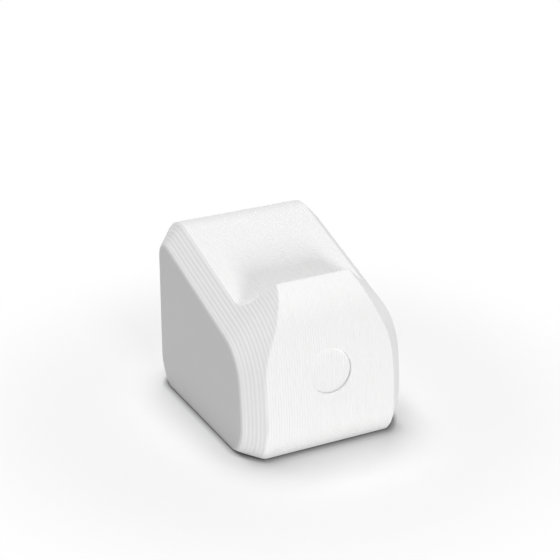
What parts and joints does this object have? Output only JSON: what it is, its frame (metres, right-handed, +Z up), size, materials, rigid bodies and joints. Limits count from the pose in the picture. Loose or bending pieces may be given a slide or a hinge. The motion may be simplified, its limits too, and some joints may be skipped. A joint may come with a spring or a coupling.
{
  "type": "game controller stand",
  "caption": "Solid desk stand that cradles a game controller: rounded front panel rising to a lip, a seat and rising bed behind it, bevelled sides and a flat base.",
  "frame": {"origin": "on the table, in the middle of the width and of the depth", "axes": "X across the stand, the front panel faces -Y, +Z up"},
  "size_m": [0.0574, 0.076, 0.0584],
  "materials": {
    "printed_plastic": "white printed plastic with fine layer lines that stack from side to side, satin-matt, smooth on the two side faces"
  },
  "bodies": {
    "root": {"stand": "printed_plastic"}
  },
  "joints": []
}
